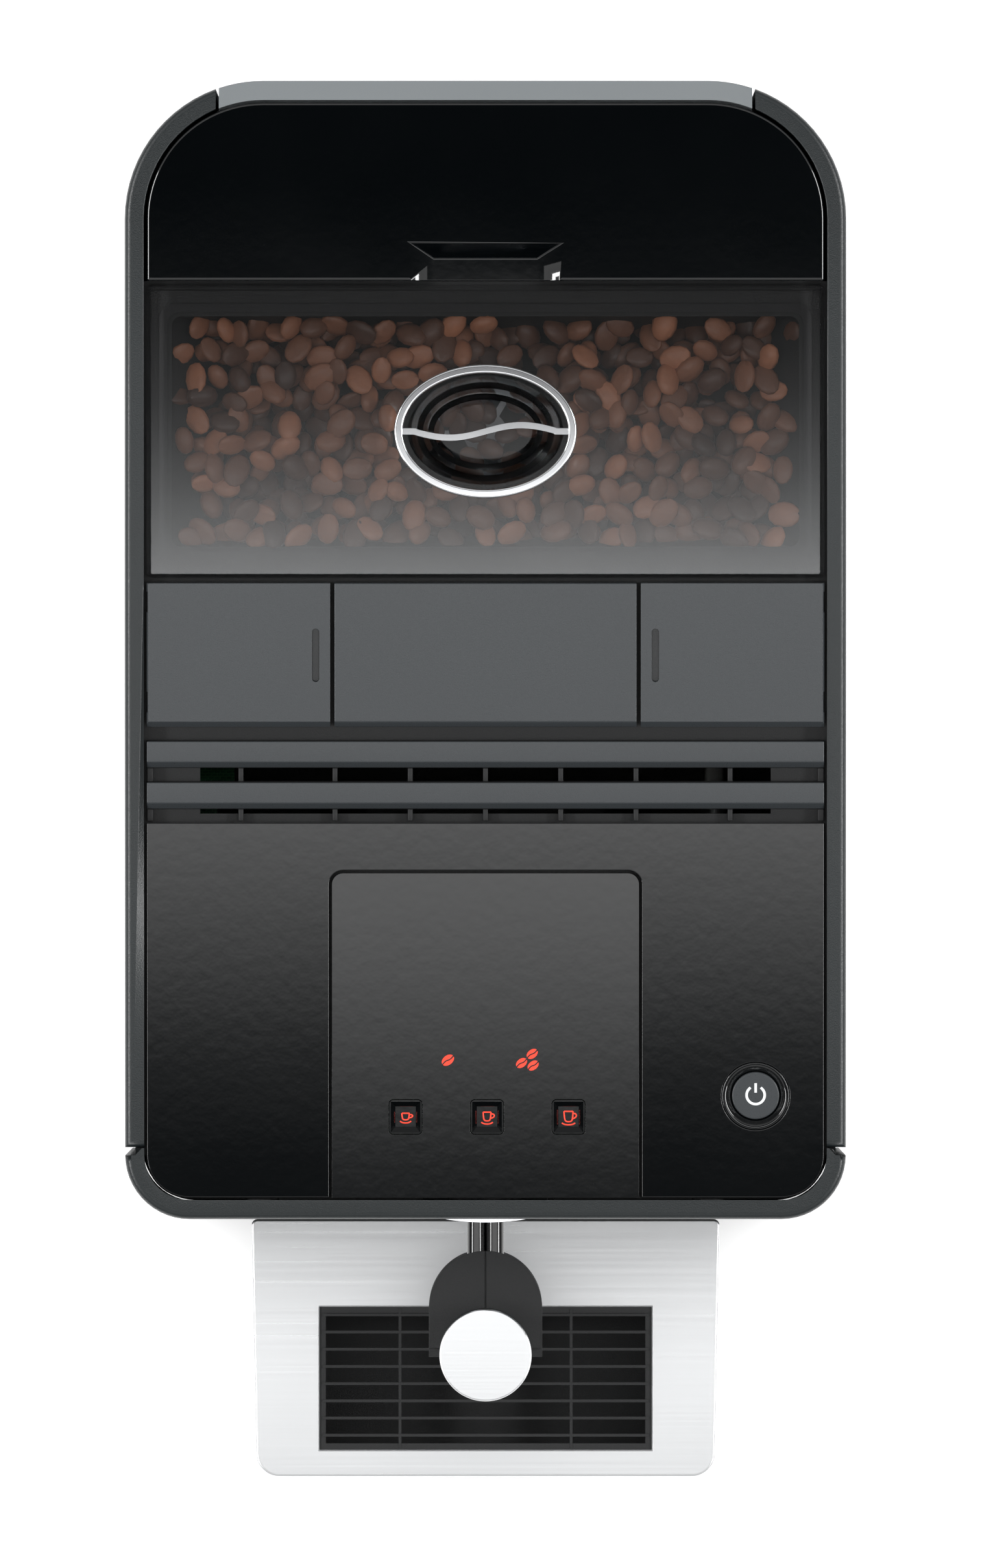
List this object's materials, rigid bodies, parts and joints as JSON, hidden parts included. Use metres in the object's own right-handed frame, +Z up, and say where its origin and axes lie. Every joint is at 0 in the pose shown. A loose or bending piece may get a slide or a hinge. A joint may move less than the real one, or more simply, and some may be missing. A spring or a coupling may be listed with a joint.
{
  "type": "bean-to-cup coffee machine",
  "caption": "Compact one-cup bean-to-cup coffee machine with water tank, bean hopper, sloping control deck, height-adjustable spout and drip tray.",
  "frame": {"origin": "centre of the bounding box at the floor, below the middle of the plan with the drip tray", "axes": "+X to the machine's right seen from the front user looking along +Y, +Y towards its back, +Z up; the front faces -Y"},
  "size_m": [0.23, 0.449, 0.3239],
  "materials": {
    "textured_black": "fine textured",
    "gloss_black": "piano black",
    "satin_grey": "satin dark grey",
    "smoked_clear": "smoked transparent",
    "tank_clear": "frosted transparent grey",
    "satin_steel": "satin",
    "chrome_trim": "polished",
    "inner_black": "moulded",
    "rubber_black": "matte",
    "board_green": "lacquered board",
    "cast_metal": "cast",
    "burr_steel": "ground",
    "silicone_white": "translucent silicone",
    "roasted_bean": "oily roasted",
    "screw_zinc": "zinc plated"
  },
  "bodies": {
    "root": {"left_side_panel": "textured_black", "right_side_panel": "textured_black", "front_cover": "textured_black", "rear_cover": "textured_black", "mains_gland": "inner_black", "rear_screws": "screw_zinc", "rubber_feet": "rubber_black", "base_pan": "inner_black", "mid_shelf": "inner_black", "top_frame": "inner_black", "tank_cradle": "inner_black", "bean_hopper": "inner_black", "bean_fill": "roasted_bean", "lid_seal": "rubber_black", "flap_hinge_pins": "screw_zinc", "center_cover": "satin_grey", "ground_coffee_chute": "inner_black", "adjuster_well": "inner_black", "vent_grille": "satin_grey", "control_deck": "gloss_black", "control_insert": "gloss_black", "control_board": "board_green", "power_ring": "gloss_black", "power_switch": "inner_black", "rail_plate": "chrome_trim", "spout_guides": "burr_steel", "grinder_housing": "inner_black", "grinder_motor": "cast_metal", "brew_frame": "inner_black", "brew_chamber": "inner_black", "pump": "cast_metal", "thermoblock": "cast_metal", "power_board": "board_green", "tank_hose": "silicone_white", "pressure_hose": "silicone_white"},
    "tank": {"water_tank": "tank_clear", "tank_valve": "rubber_black"},
    "tank_lid": {"tank_lid": "gloss_black"},
    "bean_lid": {"bean_lid": "smoked_clear", "lid_bowl": "smoked_clear", "lid_handle": "chrome_trim"},
    "left_flap": {"left_flap": "satin_grey"},
    "right_flap": {"right_flap": "satin_grey"},
    "button_left": {"coffee_button_left": "gloss_black"},
    "button_middle": {"coffee_button_middle": "gloss_black"},
    "button_right": {"coffee_button_right": "gloss_black"},
    "power_button": {"power_button": "satin_grey"},
    "grind_knob": {"grind_knob": "inner_black"},
    "spout": {"spout_carriage": "gloss_black", "spout_bracket": "inner_black", "spout_cylinder": "satin_steel"},
    "tray": {"drip_tray": "inner_black", "grounds_container": "inner_black"},
    "platform": {"cup_platform": "satin_steel", "drip_grille": "inner_black"},
    "grinder_rotor": {"grinder_rotor": "burr_steel"},
    "brew_piston": {"brew_piston": "inner_black"}
  },
  "joints": [
    {"name": "tank_lift", "type": "slide", "parent": "root", "child": "tank", "axis": [0, 0, 1], "range_m": [0, 0.14]},
    {"name": "tank_lid_lift", "type": "slide", "parent": "tank", "child": "tank_lid", "axis": [0, 0, 1], "range_m": [0, 0.08]},
    {"name": "bean_lid_lift", "type": "slide", "parent": "root", "child": "bean_lid", "axis": [0, 0, 1], "range_m": [0, 0.08]},
    {"name": "left_flap_hinge", "type": "hinge", "parent": "root", "child": "left_flap", "pos_m": [-0.106, 0.06435, 0.32093], "axis": [0, -0.9962, -0.0872], "range_deg": [0, 95]},
    {"name": "right_flap_hinge", "type": "hinge", "parent": "root", "child": "right_flap", "pos_m": [0.106, 0.06435, 0.32093], "axis": [0, 0.9962, 0.0872], "range_deg": [0, 95]},
    {"name": "button_left_press", "type": "slide", "parent": "root", "child": "button_left", "axis": [0, 0.0679, -0.9977], "range_m": [0, 0.0008], "stiffness_N_per_m": 350},
    {"name": "button_middle_press", "type": "slide", "parent": "root", "child": "button_middle", "axis": [0, 0.0679, -0.9977], "range_m": [0, 0.0008], "stiffness_N_per_m": 350},
    {"name": "button_right_press", "type": "slide", "parent": "root", "child": "button_right", "axis": [0, 0.0679, -0.9977], "range_m": [0, 0.0008], "stiffness_N_per_m": 350},
    {"name": "power_button_press", "type": "slide", "parent": "root", "child": "power_button", "axis": [0, 0.0872, -0.9962], "range_m": [0, 0.001], "stiffness_N_per_m": 350},
    {"name": "grind_knob_turn", "type": "hinge", "parent": "root", "child": "grind_knob", "pos_m": [0.07792, 0.0409, 0.284], "axis": [0, 0, 1], "range_deg": [-60, 60]},
    {"name": "spout_height", "type": "slide", "parent": "root", "child": "spout", "axis": [0, 0, 1], "range_m": [-0.035, 0.048]},
    {"name": "tray_slide", "type": "slide", "parent": "root", "child": "tray", "axis": [0, -1, 0], "range_m": [0, 0.155]},
    {"name": "platform_lift", "type": "slide", "parent": "tray", "child": "platform", "axis": [0, 0, 1], "range_m": [0, 0.03]},
    {"name": "grinder_spin", "type": "hinge", "parent": "root", "child": "grinder_rotor", "pos_m": [0, 0.11275, 0.2057], "axis": [0, 0, 1], "continuous": true},
    {"name": "brew_stroke", "type": "slide", "parent": "root", "child": "brew_piston", "axis": [0, 0, 1], "range_m": [-0.024, 0.018]}
  ]
}
